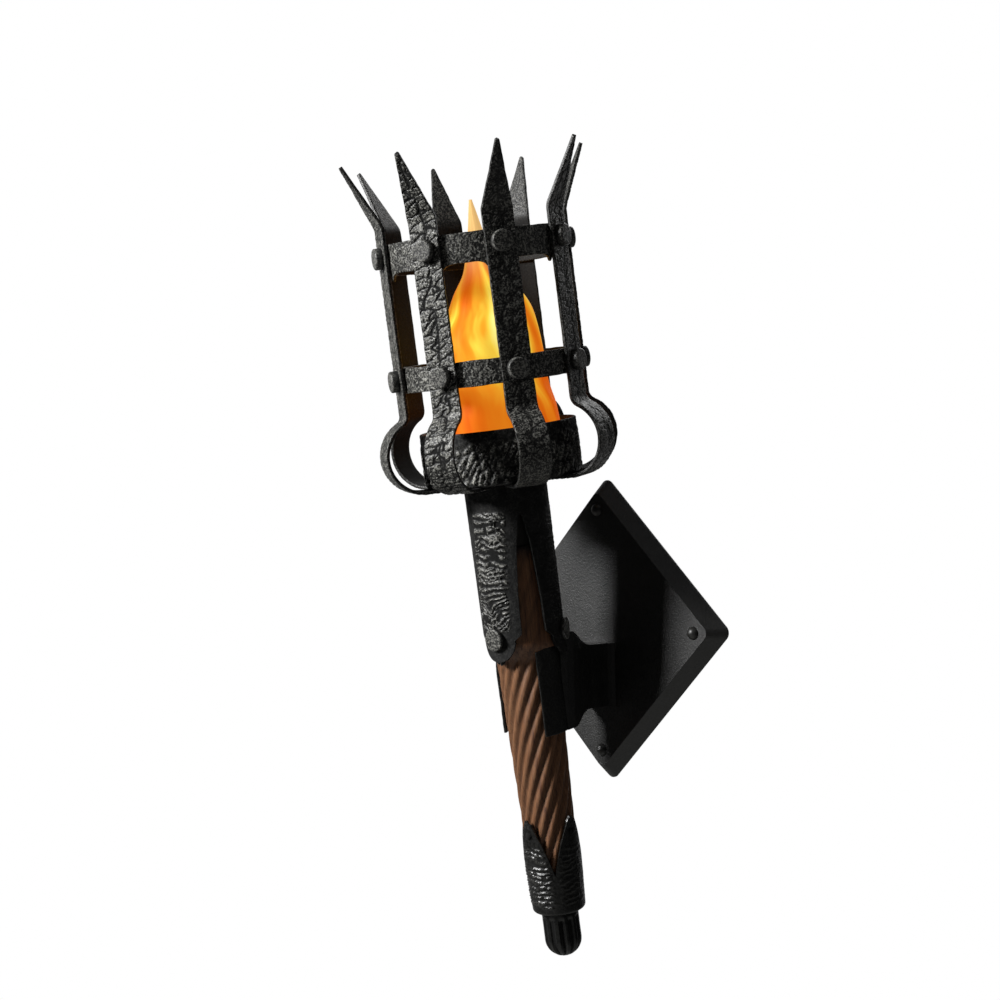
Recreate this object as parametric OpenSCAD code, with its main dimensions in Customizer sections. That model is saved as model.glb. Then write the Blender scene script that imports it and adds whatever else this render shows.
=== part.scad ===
// Wall torch: caged flame head and twisted wood shaft on a diamond wall plate.
// Millimetres. The wall is the plane y = 0, the torch stands out towards -Y, +Z is up.
// Heights marked "along the torch" are measured on its own axis, from the level of the plate centre.

/* [Torch axis] */
// lean of the torch away from the wall, degrees
torch_lean = 8.75;          // [0:0.25:15]
// wall to torch axis at the plate centre level
torch_out = 106;            // [98:1:130]
// turn of the cage about the torch axis, degrees
cage_turn = 15.7;           // [0:0.1:45]

/* [Wall plate] */
// side of the square front face
plate_side = 167;           // [150:1:200]
// how much the rim is wider than the front face, each side
plate_flare = 8.5;          // [4:0.5:14]
// depth from the wall to the front face
plate_depth = 15;           // [12:0.5:24]
// sheet thickness of the plate
plate_wall = 2;             // [1.5:0.1:3]
// corner radius of the plate
plate_corner = 6;           // [3:0.5:10]
// distance of the corner screws from the plate centre
plate_screw_r = 102;        // [90:1:106]
// diameter of the domed corner screw heads
plate_head_d = 11;          // [8:0.5:13]

/* [Mounting cross] */
// width of the cross arms
cross_w = 20;               // [16:1:26]
// thickness of the cross
cross_t = 2.5;              // [2:0.1:4]
// spacing of the junction box slots
box_spacing = 88.9;         // [80:0.1:96]
// length of each box slot
box_slot = 9;               // [7:0.5:12]

/* [Shaft] */
// top of the wood, along the torch
wood_top = 76.5;            // [60:0.5:80]
// radius of the plain top of the wood
wood_plain_r = 29.8;        // [26:0.1:32]
// radius of the fluted wood just under the petals
wood_r_top = 25.2;          // [22:0.1:27]
// radius of the fluted wood at its lower end
wood_r_end = 19.6;          // [17:0.1:21]
// number of spiral reeds
reeds = 15;                 // [10:1:20]
// depth of the grooves between the reeds
reed_depth = 1.6;           // [0.8:0.1:2.5]
// height of one full turn of a reed
reed_lead = 340;            // [250:5:600]
// radius of the wire bore
bore_r = 5.6;               // [5:0.1:8]

/* [Sleeve] */
// outer radius of the sleeve at its top
sleeve_r = 33.8;            // [30:0.1:36]
// outer radius at the petals
sleeve_r_low = 32.9;        // [30:0.1:36]
// sheet thickness of the sleeve
sleeve_wall = 2.8;          // [2:0.1:4]
// notch apex, along the torch
notch_top = 102.7;          // [92:0.5:110]
// rounded end of the petals, along the torch
petal_end = -15;            // [-20:0.5:-12]
// level where a petal steps in to its rounded end
petal_step = 7;             // [3:0.5:12]
// half width of a petal tongue, and radius of its rounded end
petal_half = 22;            // [16:0.5:25]
petal_tip_r = 17;           // [12:0.5:20]
// level of the petal rivets
petal_rivet_s = 3.8;        // [-2:0.1:8]
// diameter and height of the petal rivet heads
petal_head_d = 18;          // [12:0.5:20]
petal_head_h = 3.4;         // [2:0.1:5]

/* [Clasp and arm] */
// outer radius of the clasp
clasp_r = 28;               // [26:0.1:30]
// sheet thickness of the clasp
clasp_wall = 2.4;           // [1.8:0.1:3.2]
// top of the clasp at its front edges, along the torch
clasp_top = -10.7;          // [-16:0.1:-8]
// bottom of the clasp, along the torch
clasp_bottom = -79.5;       // [-90:0.5:-70]
// half opening of the clasp, degrees
clasp_open = 59;            // [50:1:80]
// levels of the two wood screws through the clasp
clasp_screw_a = -26;        // [-32:0.5:-22]
clasp_screw_b = -62;        // [-72:0.5:-55]
// top and bottom of the arm at its neck, above the plate centre
arm_top = -11;              // [-16:0.5:-6]
arm_bottom = -64;           // [-74:0.5:-56]
// half width of the arm at its neck
arm_half = 13;              // [10:0.5:18]
// sheet thickness of the arm
arm_wall = 2.5;             // [2:0.1:4]

/* [Ferrule and tip] */
// outer radius of the ferrule at its bottom
ferrule_r_low = 22;         // [20:0.1:25]
// outer radius at the tips of its petals
ferrule_r_top = 25.4;         // [23:0.1:28]
// wall of the ferrule
ferrule_wall = 1.9;         // [1.5:0.1:2.2]
// tips and notches of the ferrule, and its bottom, along the torch
ferrule_tip = -148.5;       // [-155:0.5:-140]
ferrule_notch = -196;       // [-205:0.5:-185]
ferrule_bottom = -229.5;      // [-235:0.5:-222]
// radius and lower end of the tip finial
finial_r = 15.5;            // [12:0.1:18]
finial_end = -270;          // [-280:0.5:-255]
// number of flutes round the finial
finial_flutes = 12;         // [8:1:16]

/* [Cage] */
// number of cage straps
straps = 8;                 // [6:1:8]
// width and thickness of a strap
strap_w = 25.4;             // [18:0.1:26]
strap_t = 3;                // [2:0.1:4]
// outer radius of the cage over its straps
cage_r = 77;                // [72:0.5:84]
// radius of the round bulge at the foot of each strap, and its fillet
bulge_r = 29.5;             // [25:0.5:33]
bulge_fillet = 9;           // [6:0.5:12]
// centre of the bulge: distance from the torch axis
bulge_out = 66;             // [62:0.5:70]
// start of the outward bend, along the torch
bend_s = 336.5;             // [330:0.5:345]
// bend radius, lean and length of the spear ends
bend_r = 16;                // [10:0.5:24]
spear_lean = 26;            // [15:0.5:35]
spear_len = 52;             // [40:0.5:60]
// height of the rings and the levels of their middles, along the torch
ring_h = 19.5;              // [14:0.5:26]
ring_t = 3;                 // [2:0.1:4]
ring_low = 219;             // [210:0.5:240]
ring_high = 316.2;          // [290:0.5:324]
// diameter and height of the cage rivet heads
rivet_d = 17;               // [10:0.5:18]
rivet_h = 6.2;              // [2:0.1:8]

/* [Cup] */
// outer radius, wall and rim level of the cup
cup_r = 63.5;               // [58:0.1:68]
cup_wall = 2.5;             // [1.8:0.1:3.5]
cup_rim = 173.5;            // [165:0.5:182]
// underside of the cup, along the torch
cup_bottom = 130;           // [126:0.5:132]

/* [Flame and lamp] */
// wall of the flame diffuser
flame_wall = 2;             // [1.5:0.1:3]
// radius of the diffuser body
flame_r = 46.5;             // [40:0.5:50]
// radius of its foot inside the cup
flame_foot = 51;            // [46:0.5:54]
// tip of the flame, along the torch
flame_tip = 355;            // [340:1:370]
// lamp bulb radius and length over its base
lamp_r = 22;                // [15:0.5:24]
lamp_len = 88;              // [70:1:95]

/* [Fasteners] */
// radius of the machine screws, studs and wood screws
screw_r = 2;                // [1.5:0.1:2.5]
// radius of the rivet shanks, and the rivets of the ferrule
shank_r = 2.5;              // [2:0.1:3]
pin_r = 1.6;                // [1.2:0.1:2]
// radius and wall of the threaded tube that carries the lampholder
nipple_r = 5;               // [4:0.1:6]
nipple_wall = 1.4;          // [1:0.1:2]
// radius of one insulated lead
lead_r = 1.25;              // [0.8:0.05:1.5]
// play round a fastener in its hole
play = 0.1;                 // [0.05:0.05:0.3]

/* [Hidden] */
$fn = 48;
wood_end = ferrule_bottom + 1;
plain_end = 0;
reed_start = -16;
strap_c = cage_r - strap_t / 2;
fillet_s = sqrt(pow(bulge_r + bulge_fillet, 2) - pow(strap_c + bulge_fillet - bulge_out, 2));
bulge_s = cup_bottom - strap_t / 2 + bulge_r;
turn_a = atan2(fillet_s, strap_c + bulge_fillet - bulge_out);
foot_s = cup_bottom - strap_t;
foot_in = 20;
foot_screw_r = 26;
sleeve_top = foot_s;
ring_r = cage_r - strap_t - 0.2;
way_s = -41;
way_r = 6;
ground_z = 32;
slot_r = 2.3;
petal_turn = 120;
ferrule_rivet_s = ferrule_tip - 13;
neck_r = wood_plain_r - 1.8;
neck_top = sleeve_top - sleeve_wall - 6.6;
way_z = way_s * cos(torch_lean);
axis_u = torch_out + way_s * sin(torch_lean);
holder_s = cup_bottom + cup_wall + 5.4;
holder_h = 34;
flame_s0 = cup_bottom + cup_wall + 0.2;
iron = [0.10, 0.10, 0.105];
steel = [0.55, 0.56, 0.58];
zinc = [0.72, 0.73, 0.75];

// ---- shared helpers ----
module torch() translate([0, -torch_out, 0]) rotate([torch_lean, 0, 0]) children();
// a 2D side view (x outwards, y up) as a plate of width w, pointing to the front
module side_plate(w) {
  rotate([0, 0, -90]) rotate([90, 0, 0]) translate([0, 0, -w / 2]) linear_extrude(w) children();
}
// a 2D front view pushed from depth a to depth b towards the front
module front_cut(a, b) {
  rotate([90, 0, 0]) translate([0, 0, a]) linear_extrude(b - a) children();
}
module tube(r, ri, h) {
  difference() {
    cylinder(r = r, h = h);
    translate([0, 0, -1]) cylinder(r = ri, h = h + 2);
  }
}
// the round hole for the leads, from the wall side to the torch axis
module wire_way(r, u0, u1) {
  translate([0, -u0, way_z]) rotate([90, 0, 0]) cylinder(r = r, h = u1 - u0);
}
module corners(r) for (a = [0, 90, 180, 270]) rotate([0, a, 0]) translate([0, 0, r]) children();

// ---- wall plate and what lies behind it ----
module diamond(half, r, y, t) {
  translate([0, y, 0]) rotate([0, 45, 0]) rotate([90, 0, 0]) linear_extrude(t) {
    hull() for (i = [-1, 1], j = [-1, 1]) translate([i * (half - r), j * (half - r)]) {
      circle(r = r, $fn = 32);
    }
  }
}
module wall_plate() {
  half = plate_side / 2;
  deep = plate_depth - plate_wall;
  color(iron) difference() {
    hull() {
      diamond(half + plate_flare, plate_corner + 1, 0, 1.2);
      diamond(half, plate_corner, -plate_depth + 0.4, 0.4);
    }
    hull() {
      diamond(half + plate_flare - plate_wall, plate_corner - 1, 1, 1.5);
      diamond(half - plate_wall, plate_corner - 2, -deep + 0.2, 0.2);
    }
    corners(plate_screw_r) translate([0, 1, 0]) rotate([90, 0, 0]) cylinder(r = screw_r + 0.4, h = 30);
    wire_way(way_r + 2, -1, 30);
    arm_holes(1.8, -1, 30);
  }
}
module arm_holes(r, u0, u1) {
  for (i = [-1, 1], z = [arm_top - 9, arm_bottom + 9]) {
    translate([i * (arm_half - 5.5), -u0, z]) rotate([90, 0, 0]) cylinder(r = r, h = u1 - u0);
  }
}
module mounting_cross() {
  color(zinc) difference() {
    for (a = [0, 90]) rotate([0, a, 0]) {
      translate([-plate_screw_r - 7, -cross_t, -cross_w / 2]) {
        cube([2 * plate_screw_r + 14, cross_t, cross_w]);
      }
    }
    corners(plate_screw_r) translate([0, 1, 0]) rotate([90, 0, 0]) cylinder(r = screw_r + play, h = 9);
    for (i = [-1, 1]) translate([i * box_spacing / 2, 1, 0]) rotate([90, 0, 0]) {
      linear_extrude(9) {
        square([box_slot - 2 * slot_r, 2 * slot_r], center = true);
        for (j = [-1, 1]) translate([j * (box_slot / 2 - slot_r), 0]) circle(r = slot_r);
      }
    }
    translate([0, 1, ground_z]) rotate([90, 0, 0]) cylinder(r = screw_r + play, h = 9);
    wire_way(way_r + 1, -1, 9);
  }
}
module dome_head(r, h) {
  // a shallow dome on its flat underside, standing on z = 0
  sr = (r * r + h * h) / (2 * h);
  intersection() {
    translate([0, 0, h - sr]) sphere(r = sr);
    cylinder(r = r + 1, h = h + 1);
  }
}
module plate_studs() {
  color(zinc) corners(plate_screw_r) rotate([90, 0, 0]) {
    cylinder(r = screw_r, h = plate_depth + 2.2);
  }
}
module cap_nuts() {
  color(iron) corners(plate_screw_r) rotate([90, 0, 0]) difference() {
    translate([0, 0, plate_depth]) dome_head(plate_head_d / 2, 4.4);
    translate([0, 0, plate_depth - 1]) cylinder(r = screw_r + play, h = 3.5);
  }
}
module ground_screw() {
  color([0.1, 0.45, 0.2]) translate([0, -cross_t, ground_z]) rotate([90, 0, 0]) {
    difference() {
      union() {
        dome_head(4, 2.6);
        translate([0, 0, -cross_t]) cylinder(r = screw_r, h = cross_t + 0.2);
      }
      translate([0, 0, 2.4]) cube([1, 9, 2.4], center = true);
    }
  }
}

// ---- arm and clasp ----
// side view of the arm, drawn w inside its outer skin
module arm_side(w) {
  t = arm_top - w;
  b = arm_bottom + w;
  polygon([[plate_depth, b], [plate_depth, t], [41, t], [46.5, t + 0.9], [52, t + 2.7],
    [58.5, t + 5.5], [66, t + 9.5], [74, t + 13.2], [92, t + 16], [92, b - 14], [71, b - 11.4],
    [66, b - 9.8], [61, b - 7], [56, b - 4], [51, b - 1.6], [46, b - 0.3], [41, b]]);
}
// plan of the arm, half width w inside its outer skin
module arm_plan(w) {
  n = arm_half - w;
  f = clasp_r - 1.5 - w;
  half = [[n + 4, plate_depth], [n + 2.2, plate_depth + 2.5], [n + 0.8, plate_depth + 5.5],
    [n, plate_depth + 10], [n, 40], [n + 1.2, 47], [n + 4.2, 56], [f - 4.4, 66], [f - 1, 75],
    [f, 84], [f, 92]];
  m = len(half) - 1;
  polygon(concat(half, [for (i = [m : -1 : 0]) [-half[i][0], half[i][1]]]));
}
module arm_form(w) {
  intersection() {
    side_plate(70) arm_side(w);
    mirror([0, 1, 0]) translate([0, 0, arm_bottom - 40]) linear_extrude(120) arm_plan(w);
  }
}
module arm() {
  color(iron) difference() {
    arm_form(0);
    intersection() {
      arm_form(arm_wall);
      translate([-40, -120, -120]) cube([80, 120 - plate_depth - 6, 160]);
    }
    translate([-9, -plate_depth - 8, arm_bottom + 16]) {
      cube([18, 20, arm_top - arm_bottom - 32]);
    }
    arm_holes(2.05, 0, plate_depth + 9);
    torch() {
      translate([0, 0, clasp_bottom - 30]) cylinder(r = clasp_r + 0.2, h = 140);
      translate([0, 0, petal_end - 1]) cylinder(r = sleeve_r_low + 0.3, h = 60);
      rivet_ring() translate([0, 0, wood_plain_r]) cylinder(r = petal_head_d / 2 + 0.4, h = 12);
    }
  }
}
module arm_screws() {
  color(zinc) for (i = [-1, 1], z = [arm_top - 9, arm_bottom + 9]) {
    translate([i * (arm_half - 5.5), -plate_depth + plate_wall, z]) rotate([90, 0, 0]) {
      translate([0, 0, -1]) cylinder(r = 1.7, h = 8.6);
      translate([0, 0, -2]) cylinder(r = 3.2, h = 2);
    }
  }
}
module clasp() {
  h = clasp_top - clasp_bottom;
  color(iron) difference() {
    torch() difference() {
      translate([0, 0, clasp_bottom]) tube(clasp_r, clasp_r - clasp_wall, h + 11.5);
      translate([0, 0, clasp_bottom - 1]) linear_extrude(h + 30) clasp_gap(clasp_open);
      // the top edge sweeps up towards the arm
      translate([-50, -20, clasp_top + 30]) rotate([0, 90, 0]) cylinder(r = 30, h = 100);
    }
    wire_way(way_r + 1, torch_out - 60, torch_out - 20);
    clasp_holes(screw_r + play, clasp_r - 5, clasp_r + 3);
  }
}
module clasp_holes(r, a, b) {
  torch() for (s = [clasp_screw_a, clasp_screw_b]) translate([0, a, s]) rotate([-90, 0, 0]) {
    cylinder(r = r, h = b - a);
  }
}
module clasp_screws() {
  color(zinc) torch() for (s = [clasp_screw_a, clasp_screw_b]) {
    translate([0, clasp_r, s]) rotate([-90, 0, 0]) {
      dome_head(4.2, 2.8);
      translate([0, 0, -16]) cylinder(r = screw_r, h = 16.1);
    }
  }
}

// ---- shaft, sleeve, ferrule ----
module shaft() {
  h = reed_start - wood_end;
  n = reeds;
  color([0.36, 0.22, 0.13]) difference() {
    torch() union() {
      translate([0, 0, plain_end]) cylinder(r = wood_plain_r, h = wood_top - plain_end);
      translate([0, 0, reed_start - 0.01]) {
        cylinder(r1 = wood_r_top - reed_depth, r2 = wood_plain_r, h = plain_end - reed_start + 0.02);
      }
      translate([0, 0, wood_end]) {
        linear_extrude(h, twist = -360 * h / reed_lead, slices = 30, scale = wood_r_top / wood_r_end) {
          polygon([for (i = [0 : n * 4 - 1]) let (a = i * 90 / n, k = abs(cos(a * n / 2)))
            (wood_r_end - reed_depth * pow(1 - k, 1.6)) * [cos(a), sin(a)]]);
        }
      }
    }
    torch() translate([0, 0, way_s - 6]) cylinder(r = bore_r, h = wood_top - way_s + 8);
    wire_way(way_r, torch_out - 40, axis_u);
    clasp_holes(screw_r + play, 10, 40);
    torch() {
      rivet_ring() translate([0, 0, 12]) cylinder(r = shank_r + play, h = 40);
      translate([0, 0, wood_end - 1]) cylinder(r = shank_r + play, h = 19);
      // seat of the clasp behind the wood
      translate([0, 0, reed_start - 2]) difference() {
        tube(wood_plain_r + 2, clasp_r - clasp_wall - 0.2, clasp_top + 14 - reed_start);
        translate([0, 0, -1]) linear_extrude(60) clasp_gap(clasp_open - 3);
      }
    }
  }
}
// the sector in front that the clasp leaves open, seen along the torch
module clasp_gap(a) {
  polygon([[0, 0], [-60 * sin(a), -60 * cos(a)], [0, -90], [60 * sin(a), -60 * cos(a)]]);
}
// children at the three petal rivets, pointing outwards
module rivet_ring() {
  for (k = [0 : 2]) rotate([0, 0, petal_turn * k]) translate([0, 0, petal_rivet_s]) {
    rotate([90, 0, 0]) children();
  }
}
module petal_outline() {
  h = sleeve_r_low * sin(60);
  polygon([[-h, notch_top + 40], [-h, notch_top], [-petal_half - 3.4, wood_top],
    [-petal_half - 0.8, 35], [-petal_half, petal_step], [-petal_tip_r + 0.3, petal_step - 5],
    [petal_tip_r - 0.3, petal_step - 5], [petal_half, petal_step], [petal_half + 0.8, 35],
    [petal_half + 3.4, wood_top], [h, notch_top], [h, notch_top + 40]]);
  translate([0, petal_end + petal_tip_r]) circle(r = petal_tip_r);
}
module sleeve() {
  low = petal_end - 2;
  color(iron) torch() difference() {
    intersection() {
      difference() {
        translate([0, 0, low]) cylinder(r1 = sleeve_r_low, r2 = sleeve_r, h = sleeve_top - low);
        translate([0, 0, low - 1]) {
          cylinder(r1 = sleeve_r_low - sleeve_wall, r2 = sleeve_r - sleeve_wall,
            h = sleeve_top - low - sleeve_wall + 1);
        }
      }
      union() {
        translate([0, 0, notch_top]) cylinder(r = 50, h = 60);
        for (k = [0 : 2]) rotate([0, 0, petal_turn * k]) front_cut(4, 50) petal_outline();
      }
    }
    rivet_ring() cylinder(r = shank_r + play, h = 50);
    translate([0, 0, sleeve_top - 12]) cylinder(r = nipple_r + 0.2, h = 20);
    foot_holes(screw_r + play, sleeve_top - 10, sleeve_top + 5);
  }
}
module foot_holes(r, a, b) {
  for (k = [0 : straps - 1]) rotate([0, 0, cage_turn + 360 * k / straps]) {
    translate([0, -foot_screw_r, a]) cylinder(r = r, h = b - a);
  }
}
// flat topped head with a rounded edge, standing on z = 0
module button_head(r, h) {
  e = min(h * 0.25, r * 0.16);
  rotate_extrude() intersection() {
    union() {
      square([r - e, h]);
      square([r, h - e]);
      translate([r - e, h - e]) circle(r = e, $fn = 32);
    }
    square([r + 1, h]);
  }
}
module petal_rivets() {
  color(iron) torch() rivet_ring() {
    translate([0, 0, sleeve_r_low + 0.2]) button_head(petal_head_d / 2, petal_head_h);
    translate([0, 0, wood_plain_r - 14]) cylinder(r = shank_r, h = 14 + sleeve_r_low - wood_plain_r + 0.4);
  }
}
module neck_tube() {
  color(steel) torch() difference() {
    translate([0, 0, wood_top + 0.1]) cylinder(r = neck_r, h = neck_top - wood_top);
    translate([0, 0, wood_top + 3]) cylinder(r = neck_r - 2.5, h = neck_top - wood_top);
    translate([0, 0, wood_top - 1]) cylinder(r = nipple_r + 0.2, h = 9);
  }
}
module ferrule_outline() {
  h = ferrule_r_low * sin(45) + 0.9;
  n = ferrule_notch;
  t = ferrule_tip;
  polygon([[-h, n - 60], [-h, n], [-h + 2.6, n + 0.3 * (t - n)], [-h + 6.2, n + 0.58 * (t - n)],
    [-h + 11, n + 0.83 * (t - n)], [-1.2, t], [1.2, t], [h - 11, n + 0.83 * (t - n)],
    [h - 6.2, n + 0.58 * (t - n)], [h - 2.6, n + 0.3 * (t - n)], [h, n], [h, n - 60]]);
}
module ferrule() {
  b = ferrule_bottom;
  t = ferrule_tip + 1;
  w = ferrule_wall;
  r = ferrule_r_low;
  color(iron) torch() difference() {
    intersection() {
      rotate_extrude() difference() {
        union() {
          polygon([[r - w, b + 2.5], [r, b + 2.5], [ferrule_r_top, t], [ferrule_r_top - w, t]]);
          translate([finial_r + 0.4, b - 1.6]) square([r - 3.4 - finial_r, 2.2]);
          intersection() {
            translate([r - 2.9, b + 2.5]) circle(r = 2.9);
            translate([finial_r + 0.4, b - 3]) square([20, 5.6]);
          }
        }
        translate([0, b + 0.8]) square([r - w, 2]);
      }
      union() {
        translate([0, 0, b - 5]) cylinder(r = 50, h = ferrule_notch - b + 5);
        for (k = [0 : 3]) rotate([0, 0, 90 * k]) front_cut(4, 50) ferrule_outline();
      }
    }
    ferrule_holes(pin_r + play, 15, 30);
  }
}
module ferrule_holes(r, a, b) {
  for (k = [0 : 3]) rotate([0, 0, 90 * k]) translate([0, 0, ferrule_rivet_s]) {
    rotate([90, 0, 0]) translate([0, 0, a]) cylinder(r = r, h = b - a);
  }
}
function ferrule_r_at(s) = ferrule_r_low
  + (ferrule_r_top - ferrule_r_low) * (s - ferrule_bottom) / (ferrule_tip - ferrule_bottom);
module ferrule_rivets() {
  r = ferrule_r_at(ferrule_rivet_s);
  color(iron) torch() for (k = [0 : 3]) rotate([0, 0, 90 * k]) {
    translate([0, 0, ferrule_rivet_s]) rotate([90, 0, 0]) {
      translate([0, 0, r + 0.25]) dome_head(3, 1.8);
      translate([0, 0, r - ferrule_wall - 0.3]) cylinder(r = pin_r, h = ferrule_wall + 0.6);
    }
  }
}
module tip_finial() {
  r = finial_r;
  top = ferrule_bottom + 0.9;
  color([0.07, 0.07, 0.07]) torch() difference() {
    union() {
      // the round end carries on up to the ferrule's floor, however short the finial is
      intersection() {
        translate([0, 0, finial_end + r]) union() {
          cylinder(r = r, h = top - finial_end);
          sphere(r = r);
        }
        translate([0, 0, finial_end - 1]) cylinder(r = r + 1, h = top - finial_end + 1);
      }
      translate([0, 0, top - 0.1]) cylinder(r = shank_r, h = 16);
    }
    for (k = [0 : finial_flutes - 1]) rotate([0, 0, 360 * (k + 0.5) / finial_flutes]) {
      translate([0, r + 0.9, finial_end]) cylinder(r = 2.6, h = top - finial_end - 6);
    }
  }
}

// ---- cage ----
// points on an arc about c, from direction a0 to a1 in n steps
function arc(c, r, a0, a1, n) = [for (i = [0 : n]) let (a = a0 + (a1 - a0) * i / n)
  c + r * [cos(a), sin(a)]];
// one face of a strap seen from the side, from its foot to its point: k = 1 outside, -1 inside
function strap_face(k) = let (c1 = [strap_c + bulge_fillet, bulge_s + fillet_s],
    c3 = [strap_c + bend_r, bend_s], h = k * strap_t / 2, up = 180 - spear_lean) concat(
  [[foot_in, bulge_s - bulge_r - h]],
  arc([bulge_out, bulge_s], bulge_r + h, -90, turn_a, 32),
  arc(c1, bulge_fillet - h, 180 + turn_a, 180, 10),
  arc(c3, bend_r - h, 180, up, 6),
  [c3 + (bend_r - h) * [cos(up), sin(up)] + spear_len * [sin(spear_lean), cos(spear_lean)]]);
module strap_side() {
  inside = strap_face(-1);
  polygon(concat(strap_face(1), [for (i = [len(inside) - 1 : -1 : 0]) inside[i]]));
}
module strap_front() {
  top = bend_s + bend_r * sin(spear_lean) + spear_len * cos(spear_lean);
  h = strap_w / 2;
  polygon([[-h, foot_s - 5], [-h, bend_s + 5], [-h * 0.52, bend_s + 5 + (top - bend_s) * 0.5],
    [-0.6, top + 2], [0.6, top + 2], [h * 0.52, bend_s + 5 + (top - bend_s) * 0.5],
    [h, bend_s + 5], [h, foot_s - 5]]);
}
module foot_plan() {
  h = strap_w / 2;
  polygon([[-6.5, -foot_in], [6.5, -foot_in], [h + 0.1, -44], [h + 0.1, -140],
    [-h - 0.1, -140], [-h - 0.1, -44]]);
}
module strap(k) {
  color(iron) torch() rotate([0, 0, cage_turn + 360 * k / straps]) difference() {
    intersection() {
      side_plate(strap_w + 2) strap_side();
      front_cut(0, 150) strap_front();
      translate([0, 0, foot_s - 5]) linear_extrude(400) foot_plan();
    }
    for (s = [ring_low, ring_high]) translate([0, -cage_r - 5, s]) {
      rotate([-90, 0, 0]) cylinder(r = shank_r + play, h = 12);
    }
    translate([0, -foot_screw_r, foot_s - 5]) cylinder(r = screw_r + play, h = 12);
  }
}
module strap_1() strap(0);
module strap_2() strap(1);
module strap_3() strap(2);
module strap_4() strap(3);
module strap_5() strap(4);
module strap_6() strap(5);
module strap_7() if (straps > 6) strap(6);
module strap_8() if (straps > 7) strap(7);
module cage_ring(s) {
  color(iron) torch() difference() {
    translate([0, 0, s - ring_h / 2]) tube(ring_r, ring_r - ring_t, ring_h);
    for (k = [0 : straps - 1]) rotate([0, 0, cage_turn + 360 * k / straps]) {
      translate([0, -ring_r + 8, s]) rotate([90, 0, 0]) cylinder(r = shank_r + play, h = 16);
    }
  }
}
module ring_upper() cage_ring(ring_high);
module ring_lower() cage_ring(ring_low);
module cage_rivets(s) {
  color(iron) torch() for (k = [0 : straps - 1]) rotate([0, 0, cage_turn + 360 * k / straps]) {
    translate([0, -cage_r, s]) rotate([90, 0, 0]) {
      button_head(rivet_d / 2, rivet_h);
      translate([0, 0, -strap_t - ring_t - 0.6]) cylinder(r = shank_r, h = strap_t + ring_t + 0.7);
      translate([0, 0, -strap_t - ring_t - 2.2]) cylinder(r = 4.5, h = 1.7);
    }
  }
}
module rivets_upper() cage_rivets(ring_high);
module rivets_lower() cage_rivets(ring_low);

// ---- cup and what stands in it ----
module cup() {
  r = cup_r;
  color(iron) torch() difference() {
    rotate_extrude() union() {
      translate([0, cup_bottom]) square([r - 3, cup_wall]);
      translate([r - cup_wall, cup_bottom + 3]) square([cup_wall, cup_rim - cup_bottom - 3]);
      intersection() {
        translate([r - 3, cup_bottom + 3]) circle(r = 3);
        translate([r - 3, cup_bottom]) square([3, 3]);
      }
      translate([r - 3.2, cup_bottom + 1]) square([2, 2.2]);
      translate([flame_foot + 0.35, cup_bottom + 1]) square([1.6, cup_wall + 3]);
    }
    translate([0, 0, cup_bottom - 5]) cylinder(r = nipple_r + 0.2, h = 20);
    foot_holes(screw_r + play, cup_bottom - 2, cup_bottom + 8);
  }
}
module spacer_disc() {
  color(zinc) torch() translate([0, 0, foot_s]) tube(foot_in - 1.5, nipple_r + 0.2, strap_t);
}
module foot_screws() {
  a = sleeve_top - sleeve_wall;
  b = cup_bottom + cup_wall;
  color(zinc) torch() for (k = [0 : straps - 1]) rotate([0, 0, cage_turn + 360 * k / straps]) {
    translate([0, -foot_screw_r, 0]) {
      translate([0, 0, b]) dome_head(3.6, 2.4);
      translate([0, 0, a - 4.5]) cylinder(r = screw_r, h = b - a + 4.6);
      translate([0, 0, a - 3.2]) cylinder(r = 3.7, h = 3.1, $fn = 6);
    }
  }
}
module nipple() {
  color(zinc) torch() translate([0, 0, wood_top - 14]) {
    tube(nipple_r, nipple_r - nipple_wall, holder_s + 6 - wood_top + 14);
  }
}
module nipple_nuts() {
  color(zinc) torch() {
    translate([0, 0, cup_bottom + cup_wall]) hex_nut(8.5, 5.2);
    translate([0, 0, sleeve_top - sleeve_wall - 4.1]) hex_nut(8.5, 4);
  }
}
module hex_nut(r, h) {
  difference() {
    cylinder(r = r, h = h, $fn = 6);
    translate([0, 0, -1]) cylinder(r = nipple_r + play, h = h + 2);
  }
}
module lampholder() {
  color([0.85, 0.84, 0.8]) torch() translate([0, 0, holder_s]) difference() {
    union() {
      cylinder(r = 16, h = 9);
      translate([0, 0, 5]) cylinder(r = 18, h = holder_h - 5);
    }
    translate([0, 0, 10]) cylinder(r = 13.5, h = holder_h);
    translate([0, 0, -1]) cylinder(r = nipple_r + 0.2, h = 7.5);
    translate([0, 0, 5]) cylinder(r = shank_r + 0.2, h = 6);
  }
}
module contact_button() {
  color([0.8, 0.6, 0.25]) torch() translate([0, 0, holder_s + 7]) {
    cylinder(r = shank_r, h = 3.4);
    translate([0, 0, 3.1]) cylinder(r = 5, h = 1.2);
  }
}
module leads() {
  color([0.15, 0.15, 0.15]) for (i = [-1, 1]) {
    translate([i * (lead_r + 0.35), 0, 0]) {
      translate([0, -5, way_z]) rotate([90, 0, 0]) cylinder(r = lead_r, h = axis_u - 5);
      translate([0, -axis_u, way_z]) sphere(r = lead_r + 0.3);
      translate([0, -torch_out, 0]) rotate([torch_lean, 0, 0]) translate([0, 0, way_s]) {
        cylinder(r = lead_r, h = holder_s + 6 - way_s);
      }
    }
  }
}
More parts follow.
